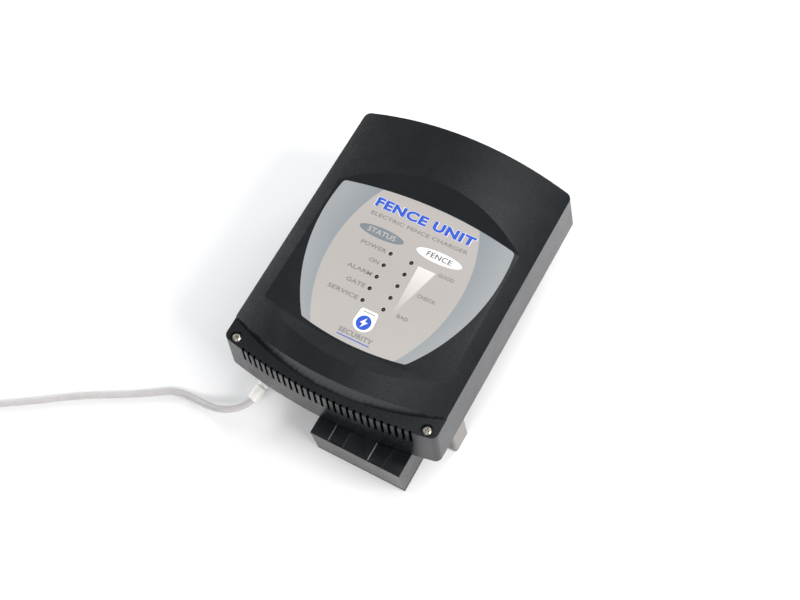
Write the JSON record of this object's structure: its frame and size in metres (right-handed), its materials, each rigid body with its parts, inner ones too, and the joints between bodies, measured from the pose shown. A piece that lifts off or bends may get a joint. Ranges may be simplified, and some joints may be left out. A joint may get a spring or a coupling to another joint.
{
  "type": "electric fence energizer",
  "caption": "Wall-box fence energizer: domed hinged cover with status lamps, back box with battery and pulse boards, drop-down terminal bay and a mains lead.",
  "frame": {"origin": "centre of the flat back of the back box, which lies on the wall or table", "axes": "+X to the right and +Y up the wall, both seen from the front with the terminal bay at the bottom; +Z out of the wall through the label"},
  "size_m": [0.4492, 0.5237, 0.09],
  "materials": {
    "cover_plastic": "moulded ABS, fine spark texture, blue-black",
    "box_plastic": "moulded ABS, fine spark texture, dark grey",
    "grey_plastic": "moulded PVC, light warm grey",
    "label_film": "printed polycarbonate film, satin",
    "lamp_lens": "tinted clear epoxy, unlit",
    "natural_nylon": "moulded natural nylon, slightly see-through",
    "lead_sheath": "extruded PVC, pale grey",
    "plug_plastic": "moulded PVC, pale grey",
    "cover_screw_steel": "zinc-plated steel, pan head, cross recess",
    "steel": "zinc-plated steel",
    "zinc_strip": "pressed zinc-plated strip",
    "core_steel": "stacked, varnished core plates",
    "coil_tape": "yellow polyester tape over copper wire",
    "potting": "black cast resin",
    "capacitor_sleeve": "shrunk PVC sleeve, dark blue",
    "fin_aluminium": "extruded, sawn ends",
    "relay_case": "moulded, cream",
    "fuse_glass": "clear tube",
    "terminal_green": "moulded polyamide, green",
    "block_plastic": "moulded melamine, cream",
    "circuit_board": "glass-epoxy laminate, green solder mask",
    "battery_case": "moulded ABS, dark grey",
    "brass": "machined, nickel flash worn off"
  },
  "bodies": {
    "base": {"base_tray": "box_plastic", "hinge_pins": "steel", "battery": "battery_case", "battery_strap": "zinc_strip", "strap_screws": "steel", "battery_tabs": "brass", "main_board": "circuit_board", "board_screws": "steel", "mains_transformer_core": "core_steel", "mains_transformer_coil": "coil_tape", "pulse_transformer_core": "core_steel", "pulse_transformer_coil": "potting", "storage_capacitors": "capacitor_sleeve", "heat_sink": "fin_aluminium", "relays": "relay_case", "fuse_holder": "relay_case", "fuse": "fuse_glass", "buzzer": "potting", "mains_terminals": "terminal_green", "signal_terminals": "terminal_green", "fence_terminal_block": "block_plastic", "wire_clamps": "brass", "gland_body": "natural_nylon", "gland_locknut": "natural_nylon", "side_entry_box": "grey_plastic", "cord_tube": "lead_sheath", "cord_coil": "lead_sheath", "coil_tie": "natural_nylon", "cord_tail": "lead_sheath", "plug_body": "plug_plastic", "plug_pins": "steel"},
    "cover": {"front_cover": "cover_plastic", "fascia_label": "label_film", "led_board": "circuit_board", "led_board_screws": "steel", "status_leds": "lamp_lens", "fence_leds": "lamp_lens"},
    "screw_left": {"cover_screw_left": "cover_screw_steel"},
    "screw_right": {"cover_screw_right": "cover_screw_steel"},
    "bay_cover": {"terminal_cover": "cover_plastic"},
    "clamp_screw_1": {"terminal_screw_1": "steel"},
    "clamp_screw_2": {"terminal_screw_2": "steel"},
    "clamp_screw_3": {"terminal_screw_3": "steel"},
    "clamp_screw_4": {"terminal_screw_4": "steel"},
    "gland_cap": {"gland_nut": "natural_nylon"}
  },
  "joints": [
    {"name": "cover_hinge", "type": "hinge", "parent": "base", "child": "cover", "pos_m": [0, 0.1287, 0.0345], "axis": [-1, 0, 0], "range_deg": [0, 100]},
    {"name": "cover_screw_left_turn", "type": "hinge", "parent": "cover", "child": "screw_left", "pos_m": [-0.089, -0.1117, 0.07], "axis": [0, 0, 1], "continuous": true},
    {"name": "cover_screw_right_turn", "type": "hinge", "parent": "cover", "child": "screw_right", "pos_m": [0.089, -0.1117, 0.07], "axis": [0, 0, 1], "continuous": true},
    {"name": "bay_cover_slide", "type": "slide", "parent": "base", "child": "bay_cover", "axis": [0, -1, 0], "range_m": [0, 0.034]},
    {"name": "clamp_screw_1_turn", "type": "hinge", "parent": "base", "child": "clamp_screw_1", "pos_m": [0.0095, -0.1325, 0.02], "axis": [0, 0, 1], "continuous": true},
    {"name": "clamp_screw_2_turn", "type": "hinge", "parent": "base", "child": "clamp_screw_2", "pos_m": [0.0265, -0.1325, 0.02], "axis": [0, 0, 1], "continuous": true},
    {"name": "clamp_screw_3_turn", "type": "hinge", "parent": "base", "child": "clamp_screw_3", "pos_m": [0.0435, -0.1325, 0.02], "axis": [0, 0, 1], "continuous": true},
    {"name": "clamp_screw_4_turn", "type": "hinge", "parent": "base", "child": "clamp_screw_4", "pos_m": [0.0605, -0.1325, 0.02], "axis": [0, 0, 1], "continuous": true},
    {"name": "gland_nut_turn", "type": "hinge", "parent": "base", "child": "gland_cap", "pos_m": [-0.0696, -0.11356, 0.019], "axis": [-0.1412, -0.99, 0], "continuous": true}
  ]
}
